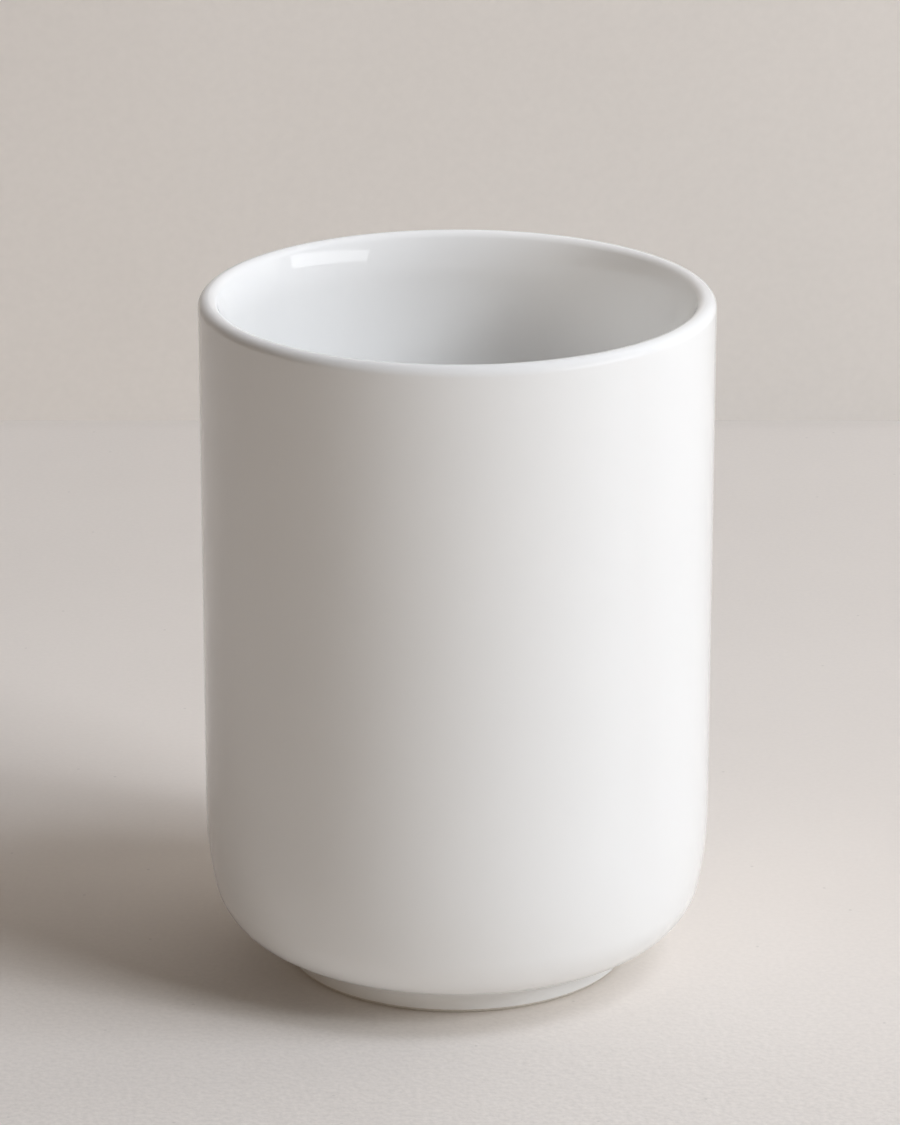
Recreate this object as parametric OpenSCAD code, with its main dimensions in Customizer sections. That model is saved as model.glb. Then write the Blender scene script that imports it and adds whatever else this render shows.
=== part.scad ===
// Handleless porcelain tumbler: a straight-sided body on a small foot ring,
// with a coat of white glaze inside, outside and in the well under the floor.
// It stands on z = 0 with its axis on +Z. Sizes are millimetres and degrees.

/* [Body] */
// Outside diameter of the straight side, glaze included
body_d = 75; // [70:1:90]
// Height from the table to the crown of the lip
cup_h = 102; // [85:1:130]
// Thickness of the straight wall, glaze included
wall_t = 3.9; // [3.4:0.1:4.5]
// Thickness of the floor, glaze included
floor_t = 4.5; // [3.5:0.5:7]
// Radius between the wall and the floor inside the cup
bowl_r = 9; // [5:0.5:12]

/* [Lip] */
// Radius of the lip's outer half
lip_outer_r = 1.5; // [1.2:0.1:1.7]
// Radius of the lip's inner half
lip_inner_r = 1.4; // [1:0.1:1.6]
// Radius of the long curve that flares from the inner wall up to the lip
flare_r = 16; // [12:1:28]

/* [Base corner] */
// Radius of the long curve that draws the side in towards the corner
easing_r = 57; // [45:1:65]
// Angle that the long curve turns through
easing_turn = 11.3; // [8:0.1:13]
// Radius of the tight corner below it
corner_r = 10; // [7:0.5:12]
// Slope of the underside between the corner and the foot
underside_slope = 13.5; // [10:0.5:18]

/* [Foot] */
// Height of the foot ring, from the table to the flat under the floor
foot_h = 4; // [3:0.5:7]
// Distance that the foot stands in from the straight side
foot_setback = 12; // [11:0.5:16]
// Width of the foot ring, glaze included
foot_w = 4; // [3:0.5:6]
// Rounding of the two bare edges that the cup stands on
foot_edge_r = 0.5; // [0.3:0.1:0.8]

/* [Glaze] */
// Thickness of every coat of glaze
glaze_t = 0.25; // [0.15:0.05:0.4]
// Radius of the glaze that pools in the corners beside the foot
pool_r = 0.6; // [0.4:0.1:0.9]
// Height of bare clay wiped clean above the foot's rounded edge
wiped_h = 0.15; // [0.1:0.05:0.5]

/* [Hidden] */
$fn = 120;
// Furthest that the points of a curve may cut inside it
chord_gap = 0.005;

// Radii of the glazed surfaces
side_r = body_d / 2;
inner_r = side_r - wall_t;
foot_outer_r = side_r - foot_setback;
well_r = foot_outer_r - foot_w;
crown_r = side_r - lip_outer_r;

// Radii of the clay on both sides of the foot ring
clay_foot_r = foot_outer_r - glaze_t;
clay_well_r = well_r + glaze_t;

// Levels: the flat under the floor, the glazed floor and the glaze's lower edge
well_z = foot_h - glaze_t;
floor_z = well_z + floor_t;
wiped_z = foot_edge_r + wiped_h;

// Lip: both halves share the crown, and the flare is tangent to the inner half
lip_outer_c = [crown_r, cup_h - lip_outer_r];
lip_inner_c = [crown_r, cup_h - lip_inner_r];
flare_turn = acos((flare_r - (wall_t - lip_outer_r)) / (flare_r - lip_inner_r));
flare_c = lip_inner_c + (flare_r - lip_inner_r) * [cos(flare_turn), -sin(flare_turn)];

// Base corner: the side, the long curve, the corner and the sloping underside
// are tangent in turn, and the underside starts at the foot ring's top edge
corner_end = underside_slope - 90;
corner_in = side_r - easing_r + (easing_r - corner_r) * cos(easing_turn);
clay_corner_r = corner_r - glaze_t;
underside_run = corner_in + clay_corner_r * cos(corner_end) - clay_foot_r;
underside_rise = underside_run * tan(underside_slope);
corner_c = [corner_in, foot_h + underside_rise - clay_corner_r * sin(corner_end)];
easing_c = corner_c + (easing_r - corner_r) * [-cos(easing_turn), sin(easing_turn)];

// Bowl: the rounding between the inner wall and the floor
bowl_c = [inner_r - bowl_r, floor_z + bowl_r];

// Pool: the glaze's hollow corner between the underside and the foot's side
slope_out = [cos(corner_end), sin(corner_end)];
slope_foot = [clay_foot_r, foot_h] + glaze_t * slope_out;
pool_in = foot_outer_r + pool_r - slope_foot[0];
pool_c = [foot_outer_r + pool_r, slope_foot[1] + (pool_in * slope_out[0] - pool_r) / -slope_out[1]];

// Point at a bearing on a circle
function on_circle(centre, radius, bearing) = centre + radius * [cos(bearing), sin(bearing)];

// Points along an arc of the glazed surface, spaced so that no chord leaves it
// by more than chord_gap. The clay behind the glaze has the same points, moved
// along the radius by grow.
function arc(centre, radius, from, to, grow = 0) =
    let (steps = ceil(abs(to - from) / (2 * acos(1 - chord_gap / radius))))
    [for (i = [0 : steps]) on_circle(centre, radius + grow, from + (to - from) * i / steps)];

// All points but the first, for an arc that starts where another ends
function rest(points) = [for (i = [1 : len(points) - 1]) points[i]];

// The points from the last to the first
function backwards(points) = [for (i = [len(points) - 1 : -1 : 0]) points[i]];

// Outside of the cup from the crown of the lip to the underside's slope, set
// in from the glazed surface by depth
function outer_run(depth) = concat(
    arc(lip_outer_c, lip_outer_r, 90, 0, -depth),
    arc(easing_c, easing_r, 0, -easing_turn, -depth),
    rest(arc(corner_c, corner_r, -easing_turn, corner_end, -depth))
);

// Inside of the cup from the crown of the lip to the middle of the floor
function inner_run(depth) = concat(
    arc(lip_inner_c, lip_inner_r, 90, 180 - flare_turn, -depth),
    rest(arc(flare_c, flare_r, 180 - flare_turn, 180, -depth)),
    arc(bowl_c, bowl_r, 360, 270, depth),
    [[0, floor_z - depth]]
);

// Fired clay of the wall and the floor
module body() {
    under_floor = [[clay_foot_r, foot_h], [0, foot_h]];
    color("white") rotate_extrude()
        polygon(concat(outer_run(glaze_t), under_floor, backwards(inner_run(glaze_t))));
}

// Fired clay of the ring that the cup stands on, luted under the floor
module foot_ring() {
    outer_edge_c = [clay_foot_r - foot_edge_r, foot_edge_r];
    inner_edge_c = [clay_well_r + foot_edge_r, foot_edge_r];
    color("linen") rotate_extrude() polygon(concat(
        arc(outer_edge_c, foot_edge_r, -90, 0),
        [[clay_foot_r, foot_h], [clay_well_r, foot_h]],
        arc(inner_edge_c, foot_edge_r, 180, 270)
    ));
}

// Glaze inside the cup, from the crown of the lip down over the floor
module liner_glaze() {
    color("whitesmoke") rotate_extrude()
        polygon(concat(inner_run(0), backwards(inner_run(glaze_t))));
}

// Glaze outside, from the crown over the side and the underside down the foot
module outer_glaze() {
    foot_side = concat(
        arc(pool_c, pool_r, 90 + underside_slope, 180),
        [[foot_outer_r, wiped_z], [clay_foot_r, wiped_z], [clay_foot_r, foot_h]]
    );
    color("white") rotate_extrude()
        polygon(concat(outer_run(0), foot_side, backwards(outer_run(glaze_t))));
}

// Glaze in the well under the floor, down the inside of the foot
module well_glaze() {
    fillet_c = [well_r - pool_r, well_z - pool_r];
    color("whitesmoke") rotate_extrude() polygon(concat(
        [[0, well_z]],
        arc(fillet_c, pool_r, 90, 0),
        [[well_r, wiped_z], [clay_well_r, wiped_z], [clay_well_r, foot_h], [0, foot_h]]
    ));
}

body();
foot_ring();
liner_glaze();
outer_glaze();
well_glaze();
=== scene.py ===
"""Looks of a handleless white porcelain tumbler: its glazed and bare surfaces as
fine turned meshes, their materials, and the pale table, wall and soft window
light of the photograph. Lengths are in millimetres until a mesh is made."""

import math

import bmesh
import bpy
from mathutils import Euler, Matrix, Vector


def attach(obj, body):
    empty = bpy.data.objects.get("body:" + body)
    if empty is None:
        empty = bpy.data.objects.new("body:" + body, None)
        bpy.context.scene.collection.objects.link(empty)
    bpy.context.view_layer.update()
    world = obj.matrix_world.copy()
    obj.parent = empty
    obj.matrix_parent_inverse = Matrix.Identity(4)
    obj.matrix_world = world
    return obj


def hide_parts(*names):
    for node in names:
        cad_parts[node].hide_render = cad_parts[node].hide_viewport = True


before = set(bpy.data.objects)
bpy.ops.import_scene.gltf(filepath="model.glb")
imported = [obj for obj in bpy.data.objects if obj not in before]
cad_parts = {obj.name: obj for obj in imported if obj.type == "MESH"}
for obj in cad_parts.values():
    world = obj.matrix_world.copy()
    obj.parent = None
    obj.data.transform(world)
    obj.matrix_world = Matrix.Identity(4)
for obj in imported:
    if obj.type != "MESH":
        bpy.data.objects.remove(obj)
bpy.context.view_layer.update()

MM = 0.001

# Sizes of the cup, as in the part's source
BODY_D = 75
CUP_H = 102
WALL_T = 3.9
FLOOR_T = 4.5
BOWL_R = 9
LIP_OUTER_R = 1.5
LIP_INNER_R = 1.4
FLARE_R = 16
EASING_R = 57
EASING_TURN = 11.3
CORNER_R = 10
UNDERSIDE_SLOPE = 13.5
FOOT_H = 4
FOOT_SETBACK = 12
FOOT_W = 4
FOOT_EDGE_R = 0.5
GLAZE_T = 0.25
POOL_R = 0.6
WIPED_H = 0.15

# Radii and levels that follow from them
SIDE_R = BODY_D / 2
INNER_R = SIDE_R - WALL_T
FOOT_R = SIDE_R - FOOT_SETBACK
WELL_R = FOOT_R - FOOT_W
CROWN_R = SIDE_R - LIP_OUTER_R
CLAY_FOOT_R = FOOT_R - GLAZE_T
CLAY_WELL_R = WELL_R + GLAZE_T
WELL_Z = FOOT_H - GLAZE_T
FLOOR_Z = WELL_Z + FLOOR_T
WIPED_Z = FOOT_EDGE_R + WIPED_H

# Fineness of the turned meshes: segments of a turn, degrees between the points
# of an arc and its fewest steps, steps of the straight runs, and the angle in
# degrees from which an edge stays sharp
SEGMENTS = 192
ARC_STEP = 4
ARC_LEAST = 3
SIDE_STEPS = 16
WALL_STEPS = 14
FLOOR_STEPS = 8
SHARP_ANGLE = 40

# Stage, in metres: the table's front edge, the wall behind the cup, its top and
# the reach to either side
STAGE_FRONT = -3
STAGE_BACK = 0.2687
STAGE_TOP = 2.5
STAGE_SIDE = 3

# Range that a noise texture's values mostly fall in
NOISE_LOW = 0.3
NOISE_HIGH = 0.7

# Grain of the table and the wall: its strength at two depths in metres, full and
# faint, its height in metres, and how much wider and higher the coarse weave is
GRAIN_FULL_Y = -0.11
GRAIN_FAINT_Y = 0.03
GRAIN_FULL = 0.36
GRAIN_FAINT = 0.06
GRAIN_H = 0.0002
WEAVE_WIDTH = 5
WEAVE_HEIGHT = 2

# Specks of the table: cells per metre, the part of a cell that a speck's middle
# and its edge reach, and its shade
SPECK_CELLS = 35
SPECK_MIDDLE = 0.004
SPECK_EDGE = 0.012
SPECK_SHADE = 0.86

# Painted shade along the table's far edge, where the wall stands on it, and its width in metres
WALL_FOOT_PAINTED_SHADE = 0.965
WALL_FOOT_SHADE_WIDTH = 0.008

# Lamps: bearing from +X towards +Y and elevation in degrees, distance, width and
# height in metres, power in watts, colour, and whether the cup mirrors the lamp
LAMPS = {
    "window_low": (-30, 30, 2.0, 0.626, 0.705, 19.7, (0.92, 0.955, 1), False),
    "window_high": (-15, 55, 2.0, 0.605, 1.072, 16.8, (0.86, 0.91, 1), False),
    "window_sill": (-22.5, 14, 2.0, 1.6, 0.42, 6, (0.97, 0.98, 1), True),
    "room_front": (-100, 15, 2.0, 1.0, 1.0, 3.1, (1, 0.68, 0.4), False),
    "cup_inside": (200, 32, 0.5, 0.065, 0.02, 0.0009, (1, 0.96, 0.92), False),
    "table_glow": (-60, -10, 1.5, 0.6, 0.6, 1.85, (0.79, 0.92, 1), False),
    "below": (0, -90, 1.0, 0.06, 0.06, 0.3, (1, 0.98, 0.95), False),
}

# The lamp that shines into the cup: the spread of its beam in degrees, and how
# far it is moved in metres
BEAM_SPREAD = 3
BEAM_MOVE = Vector((0.016, 0.006, CUP_H / 2 * MM))

# Colour of the room, and how bright it is where the cup mirrors it
ROOM_COLOUR = (0.55, 0.515, 0.48, 1)
ROOM_MIRRORED = 0.35

# The photograph's camera: the sensor's long side and the focal length in
# millimetres, its place in metres, how far it looks down in degrees, and the
# nearest and the farthest that it sees in metres
SENSOR = 36
FOCAL = 158.85
CAMERA_AT = (-0.00105, -0.69157, 0.29626)
CAMERA_DOWN = 18.784
NEAREST = 0.01
FARTHEST = 20


def polar(centre, radius, bearing):
    """Point at a bearing in degrees on a circle of the profile."""
    a = math.radians(bearing)
    return (centre[0] + radius * math.cos(a), centre[1] + radius * math.sin(a))


def arc(centre, radius, start, end, grow=0):
    """Points along an arc of the profile, ends included."""
    steps = max(ARC_LEAST, math.ceil(abs(end - start) / ARC_STEP))
    return [polar(centre, radius + grow, start + (end - start) * i / steps) for i in range(steps + 1)]


def straight(a, b, steps):
    """Points between two points of the profile, both left out."""
    return [(a[0] + (b[0] - a[0]) * i / steps, a[1] + (b[1] - a[1]) * i / steps) for i in range(1, steps)]


def outer_run(depth):
    """Outside from the crown of the lip to the end of the base corner."""
    corner_end = UNDERSIDE_SLOPE - 90
    corner_in = SIDE_R - EASING_R + (EASING_R - CORNER_R) * math.cos(math.radians(EASING_TURN))
    clay_corner_r = CORNER_R - GLAZE_T
    run = corner_in + clay_corner_r * math.cos(math.radians(corner_end)) - CLAY_FOOT_R
    rise = run * math.tan(math.radians(UNDERSIDE_SLOPE))
    corner_c = (corner_in, FOOT_H + rise - clay_corner_r * math.sin(math.radians(corner_end)))
    easing_c = polar(corner_c, EASING_R - CORNER_R, 180 - EASING_TURN)
    lip_c = (CROWN_R, CUP_H - LIP_OUTER_R)
    lip = arc(lip_c, LIP_OUTER_R, 90, 0, -depth)
    easing = arc(easing_c, EASING_R, 0, -EASING_TURN, -depth)
    corner = arc(corner_c, CORNER_R, -EASING_TURN, corner_end, -depth)
    return lip + straight(lip[-1], easing[0], SIDE_STEPS) + easing + corner[1:]


def inner_run(depth):
    """Inside from the crown of the lip to the middle of the floor."""
    turn = math.degrees(math.acos((FLARE_R - (WALL_T - LIP_OUTER_R)) / (FLARE_R - LIP_INNER_R)))
    lip_c = (CROWN_R, CUP_H - LIP_INNER_R)
    flare_c = polar(lip_c, FLARE_R - LIP_INNER_R, -turn)
    bowl_c = (INNER_R - BOWL_R, FLOOR_Z + BOWL_R)
    lip = arc(lip_c, LIP_INNER_R, 90, 180 - turn, -depth)
    flare = arc(flare_c, FLARE_R, 180 - turn, 180, -depth)
    bowl = arc(bowl_c, BOWL_R, 360, 270, depth)
    middle = (0, FLOOR_Z - depth)
    floor = straight(bowl[-1], middle, FLOOR_STEPS) + [middle]
    return lip + flare[1:] + straight(flare[-1], bowl[0], WALL_STEPS) + bowl + floor


def outer_glaze_profile():
    """Closed outline of the coat outside, down to the wiped edge of the foot."""
    out = polar((0, 0), 1, UNDERSIDE_SLOPE - 90)
    slope_foot = (CLAY_FOOT_R + GLAZE_T * out[0], FOOT_H + GLAZE_T * out[1])
    pool_in = FOOT_R + POOL_R - slope_foot[0]
    pool_c = (FOOT_R + POOL_R, slope_foot[1] + (pool_in * out[0] - POOL_R) / -out[1])
    pool = arc(pool_c, POOL_R, 90 + UNDERSIDE_SLOPE, 180)
    foot = [(FOOT_R, WIPED_Z), (CLAY_FOOT_R, WIPED_Z), (CLAY_FOOT_R, FOOT_H)]
    return outer_run(0) + pool + foot + outer_run(GLAZE_T)[::-1]


def liner_profile():
    """Closed outline of the coat inside."""
    return inner_run(0) + inner_run(GLAZE_T)[::-1]


def well_profile():
    """Closed outline of the coat in the well under the floor."""
    fillet_c = (WELL_R - POOL_R, WELL_Z - POOL_R)
    side = [(WELL_R, WIPED_Z), (CLAY_WELL_R, WIPED_Z), (CLAY_WELL_R, FOOT_H), (0, FOOT_H)]
    return [(0, WELL_Z)] + arc(fillet_c, POOL_R, 90, 0) + side


def foot_profile():
    """Closed outline of the bare ring that the cup stands on."""
    outer_c = (CLAY_FOOT_R - FOOT_EDGE_R, FOOT_EDGE_R)
    inner_c = (CLAY_WELL_R + FOOT_EDGE_R, FOOT_EDGE_R)
    top = [(CLAY_FOOT_R, FOOT_H), (CLAY_WELL_R, FOOT_H)]
    return arc(outer_c, FOOT_EDGE_R, -90, 0) + top + arc(inner_c, FOOT_EDGE_R, 180, 270)


def ring(mesh, r, z):
    """Points round the axis, all of them the same one if they lie on it."""
    if r == 0:
        return [mesh.verts.new((0, 0, z))] * SEGMENTS
    bearings = [2 * math.pi * i / SEGMENTS for i in range(SEGMENTS)]
    return [mesh.verts.new((r * math.cos(a), r * math.sin(a), z)) for a in bearings]


def band(mesh, near, far):
    """Faces between two rings, left out where both lie on the axis."""
    for i in range(SEGMENTS):
        k = (i + 1) % SEGMENTS
        corners = dict.fromkeys((near[i], near[k], far[k], far[i]))
        if len(corners) > 2:
            mesh.faces.new(corners)


def turned(name, profile):
    """Closed mesh object made by turning a closed outline about the axis."""
    mesh = bmesh.new()
    rings = [ring(mesh, r * MM, z * MM) for r, z in profile]
    for j, near in enumerate(rings):
        band(mesh, near, rings[(j + 1) % len(rings)])
    bmesh.ops.recalc_face_normals(mesh, faces=mesh.faces)
    data = bpy.data.meshes.new(name)
    mesh.to_mesh(data)
    mesh.free()
    data.shade_smooth()
    data.set_sharp_from_angle(angle=math.radians(SHARP_ANGLE))
    piece = bpy.data.objects.new(name, data)
    bpy.context.scene.collection.objects.link(piece)
    return piece


def new_material(name, roughness):
    """Node material, with its tree, its shader and the object's own coordinates."""
    material = bpy.data.materials.new(name)
    material.use_nodes = True
    tree = material.node_tree
    shader = tree.nodes["Principled BSDF"]
    shader.inputs["Roughness"].default_value = roughness
    place = tree.nodes.new("ShaderNodeTexCoord").outputs["Object"]
    return material, tree, shader, place


def noise(tree, place, scale, detail=3):
    """Noise whose features are about 1 / scale metres wide."""
    node = tree.nodes.new("ShaderNodeTexNoise")
    node.inputs["Scale"].default_value = scale
    node.inputs["Detail"].default_value = detail
    tree.links.new(place, node.inputs["Vector"])
    return node.outputs["Fac"]


def blend(tree, factor, low, high):
    """Colour that runs from low to high as the factor runs over the noise's range."""
    ramp = tree.nodes.new("ShaderNodeValToRGB")
    start, end = ramp.color_ramp.elements
    start.position = NOISE_LOW
    start.color = (*low, 1)
    end.position = NOISE_HIGH
    end.color = (*high, 1)
    tree.links.new(factor, ramp.inputs["Fac"])
    return ramp.outputs["Color"]


def spread(tree, factor, low, high):
    """Number that runs from low to high as the factor runs over the noise's range."""
    node = tree.nodes.new("ShaderNodeMapRange")
    node.inputs["From Min"].default_value = NOISE_LOW
    node.inputs["From Max"].default_value = NOISE_HIGH
    node.inputs["To Min"].default_value = low
    node.inputs["To Max"].default_value = high
    tree.links.new(factor, node.inputs["Value"])
    return node.outputs["Result"]


def bump(tree, height, distance, under=None):
    """Bump of a given height in metres, over another one if it is given."""
    node = tree.nodes.new("ShaderNodeBump")
    node.inputs["Strength"].default_value = 1
    node.inputs["Distance"].default_value = distance
    tree.links.new(height, node.inputs["Height"])
    if under is not None:
        tree.links.new(under, node.inputs["Normal"])
    return node.outputs["Normal"]


def glaze_material(name, low, high):
    """Glossy clear-over-white glaze: slow tint drift, uneven gloss, and a faint
    ripple over a slow wave of its surface."""
    material, tree, shader, place = new_material(name, 0.04)
    tint = blend(tree, noise(tree, place, 22), low, high)
    gloss = spread(tree, noise(tree, place, 160), 0.03, 0.06)
    wave = bump(tree, noise(tree, place, 45, 1), 0.00002)
    ripple = bump(tree, noise(tree, place, 900, 2), 0.0000006, wave)
    tree.links.new(tint, shader.inputs["Base Color"])
    tree.links.new(gloss, shader.inputs["Roughness"])
    tree.links.new(ripple, shader.inputs["Normal"])
    shader.inputs["IOR"].default_value = 1.5
    return material


def clay_material(name, low, high):
    """Matt fired clay with a fine dry grain."""
    material, tree, shader, place = new_material(name, 0.8)
    grain = noise(tree, place, 2600, 4)
    tree.links.new(blend(tree, grain, low, high), shader.inputs["Base Color"])
    tree.links.new(spread(tree, noise(tree, place, 500), 0.7, 0.9), shader.inputs["Roughness"])
    tree.links.new(bump(tree, grain, 0.00004), shader.inputs["Normal"])
    return material


def scaled(tree, colour, factor):
    """Colour times a factor."""
    node = tree.nodes.new("ShaderNodeVectorMath")
    node.operation = "SCALE"
    tree.links.new(colour, node.inputs[0])
    tree.links.new(factor, node.inputs["Scale"])
    return node.outputs["Vector"]


def swing(tree, factor, reach):
    """Number that swings round 1, by more where the reach is greater."""
    centred = tree.nodes.new("ShaderNodeMath")
    centred.operation = "SUBTRACT"
    centred.inputs[1].default_value = 0.5
    tree.links.new(factor, centred.inputs[0])
    node = tree.nodes.new("ShaderNodeMath")
    node.operation = "MULTIPLY_ADD"
    node.inputs[2].default_value = 1
    tree.links.new(centred.outputs["Value"], node.inputs[0])
    tree.links.new(reach, node.inputs[1])
    return node.outputs["Value"]


def ease(tree, value, start, end, low, high):
    """Number that eases from low to high while the value runs from start to end."""
    node = tree.nodes.new("ShaderNodeMapRange")
    node.interpolation_type = "SMOOTHSTEP"
    node.inputs["From Min"].default_value = start
    node.inputs["From Max"].default_value = end
    node.inputs["To Min"].default_value = low
    node.inputs["To Max"].default_value = high
    tree.links.new(value, node.inputs["Value"])
    return node.outputs["Result"]


def depth(tree, place):
    """How far back a place is, in metres from the cup's axis."""
    parts = tree.nodes.new("ShaderNodeSeparateXYZ")
    tree.links.new(place, parts.inputs["Vector"])
    return parts.outputs["Y"]


def specks(tree, place):
    """Shade of a few small round specks."""
    cells = tree.nodes.new("ShaderNodeTexVoronoi")
    cells.voronoi_dimensions = "2D"
    cells.inputs["Scale"].default_value = SPECK_CELLS
    tree.links.new(place, cells.inputs["Vector"])
    return ease(tree, cells.outputs["Distance"], SPECK_MIDDLE, SPECK_EDGE, SPECK_SHADE, 1)


def painted_wall_foot_shade(tree, place):
    """Painted shade along the table's far edge, at the foot of the wall."""
    return ease(tree, depth(tree, place), STAGE_BACK - WALL_FOOT_SHADE_WIDTH, STAGE_BACK, 1, WALL_FOOT_PAINTED_SHADE)


def one_sided(tree, shader):
    """Makes a surface show its front side only and cast no shadow, so that the cup
    can be seen from behind and is lit from below."""
    geometry = tree.nodes.new("ShaderNodeNewGeometry")
    ray = tree.nodes.new("ShaderNodeLightPath")
    through = tree.nodes.new("ShaderNodeMath")
    through.operation = "MAXIMUM"
    tree.links.new(geometry.outputs["Backfacing"], through.inputs[0])
    tree.links.new(ray.outputs["Is Shadow Ray"], through.inputs[1])
    clear = tree.nodes.new("ShaderNodeBsdfTransparent")
    sides = tree.nodes.new("ShaderNodeMixShader")
    tree.links.new(through.outputs["Value"], sides.inputs["Fac"])
    tree.links.new(shader.outputs["BSDF"], sides.inputs[1])
    tree.links.new(clear.outputs["BSDF"], sides.inputs[2])
    tree.links.new(sides.outputs["Shader"], tree.nodes["Material Output"].inputs["Surface"])


def surface_material(name, low, high, grain_scale, marks=()):
    """Matt paint of the table and the wall, with marks such as specks and painted
    shade, and with a fine grain that shows most near the front."""
    material, tree, shader, place = new_material(name, 0.85)
    shader.inputs["Specular IOR Level"].default_value = 0.2
    reach = ease(tree, depth(tree, place), GRAIN_FULL_Y, GRAIN_FAINT_Y, GRAIN_FULL, GRAIN_FAINT)
    grain = swing(tree, noise(tree, place, grain_scale, 4), reach)
    weave = swing(tree, noise(tree, place, grain_scale / WEAVE_WIDTH, 2), reach)
    colour = scaled(tree, blend(tree, noise(tree, place, 9, 6), low, high), grain)
    for mark in marks:
        colour = scaled(tree, colour, mark(tree, place))
    coarse = bump(tree, weave, WEAVE_HEIGHT * GRAIN_H)
    tree.links.new(colour, shader.inputs["Base Color"])
    tree.links.new(bump(tree, grain, GRAIN_H, coarse), shader.inputs["Normal"])
    one_sided(tree, shader)
    return material


def plane(name, corners, material):
    """Flat stage piece through its four corners, given in metres."""
    data = bpy.data.meshes.new(name)
    data.from_pydata(corners, [], [(0, 1, 2, 3)])
    data.materials.append(material)
    piece = bpy.data.objects.new(name, data)
    bpy.context.scene.collection.objects.link(piece)
    return piece


def dress(name, profile, node, material):
    """Turned piece that stands for a CAD node."""
    piece = turned(name, profile)
    piece.data.materials.append(material)
    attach(piece, "root")
    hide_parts(node)
    return piece


def area_light(name, azimuth, elevation, distance, width, height, power, colour, mirrored):
    """Softbox that looks at the cup and is either mirrored in it or lights it."""
    a, e = math.radians(azimuth), math.radians(elevation)
    out = Vector((math.cos(a) * math.cos(e), math.sin(a) * math.cos(e), math.sin(e)))
    data = bpy.data.lights.new(name, "AREA")
    data.shape = "RECTANGLE"
    data.size = width
    data.size_y = height
    data.energy = power
    data.color = colour
    lamp = bpy.data.objects.new(name, data)
    lamp.location = Vector((0, 0, CUP_H / 2 * MM)) + out * distance
    lamp.rotation_euler = out.to_track_quat("Z", "Y").to_euler()
    lamp.visible_glossy = mirrored
    lamp.visible_diffuse = not mirrored
    bpy.context.scene.collection.objects.link(lamp)
    return lamp


def add_stage():
    """Pale table and the wall behind it."""
    table_low, table_high = (0.79, 0.737, 0.685), (0.83, 0.777, 0.725)
    wall_low, wall_high = (0.855, 0.807, 0.755), (0.885, 0.837, 0.785)
    # The table's marks: specks, and painted shade along its far edge at the wall
    table = surface_material("table_paint", table_low, table_high, 1200, (specks, painted_wall_foot_shade))
    wall = surface_material("wall_paint", wall_low, wall_high, 600)
    back, side, front, top = STAGE_BACK, STAGE_SIDE, STAGE_FRONT, STAGE_TOP
    plane("table", [(-side, front, 0), (side, front, 0), (side, back, 0), (-side, back, 0)], table)
    plane("wall", [(-side, back, 0), (side, back, 0), (side, back, top), (-side, back, top)], wall)


def add_light():
    """A tall soft window on the right, towards the camera, weak light from the room
    in front, from the table's glow and from below, and a narrow beam into the cup.
    What the cup mirrors is only the low, bright strip of the window, because the
    tall glass above it would bleach the lip."""
    lamps = {name: area_light(name, *values) for name, values in LAMPS.items()}
    lamps["cup_inside"].location += BEAM_MOVE
    lamps["cup_inside"].data.spread = math.radians(BEAM_SPREAD)


def add_room():
    """Pale room behind the stage, which the cup mirrors dimly and isn't lit by."""
    world = bpy.data.worlds.new("room")
    world.use_nodes = True
    tree = world.node_tree
    ray = tree.nodes.new("ShaderNodeLightPath")
    strength = tree.nodes.new("ShaderNodeMath")
    strength.operation = "MULTIPLY_ADD"
    strength.inputs[1].default_value = ROOM_MIRRORED
    background = tree.nodes["Background"]
    background.inputs["Color"].default_value = ROOM_COLOUR
    tree.links.new(ray.outputs["Is Glossy Ray"], strength.inputs[0])
    tree.links.new(ray.outputs["Is Camera Ray"], strength.inputs[2])
    tree.links.new(strength.outputs["Value"], background.inputs["Strength"])
    bpy.context.scene.world = world


def add_camera():
    """The photograph's camera."""
    data = bpy.data.cameras.new("camera")
    data.sensor_width = SENSOR
    data.lens = FOCAL
    data.clip_start = NEAREST
    data.clip_end = FARTHEST
    camera = bpy.data.objects.new("camera", data)
    camera.location = CAMERA_AT
    camera.rotation_euler = Euler((math.radians(90 - CAMERA_DOWN), 0, 0))
    bpy.context.scene.collection.objects.link(camera)
    bpy.context.scene.camera = camera


def add_cup():
    """The cup's pieces, each standing for the CAD node that it finishes."""
    glaze = glaze_material("white_glaze", (0.875, 0.875, 0.865), (0.89, 0.89, 0.88))
    # The inside glaze is a lighter copy of the outside's white glaze: painted light, standing in for more
    # light inside the cup
    liner_painted_lighter = glaze_material("liner_glaze_white", (0.92, 0.92, 0.91), (0.945, 0.945, 0.935))
    clay = clay_material("bare_porcelain", (0.62, 0.58, 0.52), (0.72, 0.68, 0.62))
    core = clay_material("porcelain", (0.74, 0.72, 0.68), (0.82, 0.80, 0.76))
    dress("outside_glaze", outer_glaze_profile(), "outer_glaze", glaze)
    dress("inside_glaze", liner_profile(), "liner_glaze", liner_painted_lighter)
    dress("underside_glaze", well_profile(), "well_glaze", glaze)
    dress("bare_foot", foot_profile(), "foot_ring", clay)
    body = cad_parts["body"]
    body.data.materials.clear()
    body.data.materials.append(core)


add_camera()
add_stage()
add_light()
add_room()
add_cup()
bpy.context.scene.view_settings.view_transform = "Standard"
